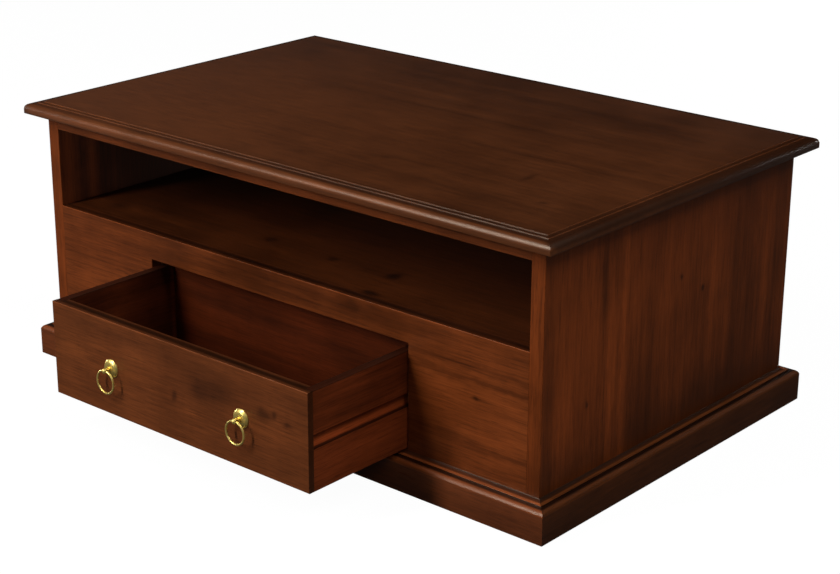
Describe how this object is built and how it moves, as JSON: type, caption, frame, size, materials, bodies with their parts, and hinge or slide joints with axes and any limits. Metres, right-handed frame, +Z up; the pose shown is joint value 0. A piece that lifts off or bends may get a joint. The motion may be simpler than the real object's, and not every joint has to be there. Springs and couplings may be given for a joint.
{
  "type": "coffee table",
  "caption": "Low wooden coffee table with a moulded top and plinth, an open shelf, and drawers with brass ring pulls that slide on wooden runners.",
  "frame": {"origin": "on the floor, under the middle of the carcass", "axes": "+X along the long front to the right, the front faces -Y, +Z up"},
  "size_m": [1.1, 0.8977, 0.45],
  "materials": {
    "top_wood": "dark red-brown stain under a satin lacquer, grain along the length",
    "side_wood": "red-brown stain under a satin lacquer, upright planks",
    "fascia_wood": "red-brown stain under a satin lacquer, grain along the length",
    "shelf_wood": "red-brown stain under a satin lacquer",
    "plinth_wood": "red-brown stain under a satin lacquer",
    "drawer_front_wood": "red-brown stain under a satin lacquer",
    "drawer_box_wood": "thin red-brown stain, nearly matt",
    "drawer_bottom_wood": "thin red-brown stain, nearly matt",
    "inner_wood": "planed, unstained",
    "brass": "polished brass, lightly worn",
    "steel": "bright zinc"
  },
  "bodies": {
    "carcass": {"back_fascia": "fascia_wood", "corner_block_back_left": "inner_wood", "corner_block_back_right": "inner_wood", "corner_block_front_left": "inner_wood", "corner_block_front_right": "inner_wood", "drawer_partition_left": "inner_wood", "drawer_partition_right": "inner_wood", "drawer_runner_left": "inner_wood", "drawer_runner_right": "inner_wood", "front_fascia": "fascia_wood", "plinth_back": "plinth_wood", "plinth_front": "plinth_wood", "plinth_left": "plinth_wood", "plinth_right": "plinth_wood", "runner_screws_left": "steel", "runner_screws_right": "steel", "shelf_board": "shelf_wood", "shelf_glue_blocks_left": "inner_wood", "shelf_glue_blocks_right": "inner_wood", "side_panel_left": "side_wood", "side_panel_right": "side_wood", "table_top": "top_wood", "top_cleat_left": "inner_wood", "top_cleat_right": "inner_wood", "top_cleat_screws_left": "steel", "top_cleat_screws_right": "steel", "top_rail_back": "fascia_wood", "top_rail_front": "fascia_wood"},
    "front_drawer": {"front_drawer_back_board": "drawer_box_wood", "front_drawer_bottom_board": "drawer_bottom_wood", "front_drawer_bottom_nails": "steel", "front_drawer_face": "drawer_front_wood", "front_drawer_left_eye": "brass", "front_drawer_left_rosette": "brass", "front_drawer_left_side": "drawer_box_wood", "front_drawer_pull_nuts": "brass", "front_drawer_right_eye": "brass", "front_drawer_right_rosette": "brass", "front_drawer_right_side": "drawer_box_wood"},
    "front_drawer_ring_left": {"front_drawer_left_ring": "brass"},
    "front_drawer_ring_right": {"front_drawer_right_ring": "brass"},
    "back_drawer": {"back_drawer_back_board": "drawer_box_wood", "back_drawer_bottom_board": "drawer_bottom_wood", "back_drawer_bottom_nails": "steel", "back_drawer_face": "drawer_front_wood", "back_drawer_left_eye": "brass", "back_drawer_left_rosette": "brass", "back_drawer_left_side": "drawer_box_wood", "back_drawer_pull_nuts": "brass", "back_drawer_right_eye": "brass", "back_drawer_right_rosette": "brass", "back_drawer_right_side": "drawer_box_wood"},
    "back_drawer_ring_left": {"back_drawer_left_ring": "brass"},
    "back_drawer_ring_right": {"back_drawer_right_ring": "brass"}
  },
  "joints": [
    {"name": "front_drawer_slide", "type": "slide", "parent": "carcass", "child": "front_drawer", "axis": [0, -1, 0], "range_m": [-0.208, 0.007]},
    {"name": "front_drawer_left_ring_swing", "type": "hinge", "parent": "front_drawer", "child": "front_drawer_ring_left", "pos_m": [-0.141, -0.543, 0.138], "axis": [-1, 0, 0], "range_deg": [-17, 197]},
    {"name": "front_drawer_right_ring_swing", "type": "hinge", "parent": "front_drawer", "child": "front_drawer_ring_right", "pos_m": [0.141, -0.543, 0.138], "axis": [-1, 0, 0], "range_deg": [-17, 197]},
    {"name": "back_drawer_slide", "type": "slide", "parent": "carcass", "child": "back_drawer", "axis": [0, 1, 0], "range_m": [0, 0.215]},
    {"name": "back_drawer_left_ring_swing", "type": "hinge", "parent": "back_drawer", "child": "back_drawer_ring_left", "pos_m": [0.141, 0.335, 0.138], "axis": [1, 0, 0], "range_deg": [-17, 197]},
    {"name": "back_drawer_right_ring_swing", "type": "hinge", "parent": "back_drawer", "child": "back_drawer_ring_right", "pos_m": [-0.141, 0.335, 0.138], "axis": [1, 0, 0], "range_deg": [-17, 197]}
  ]
}
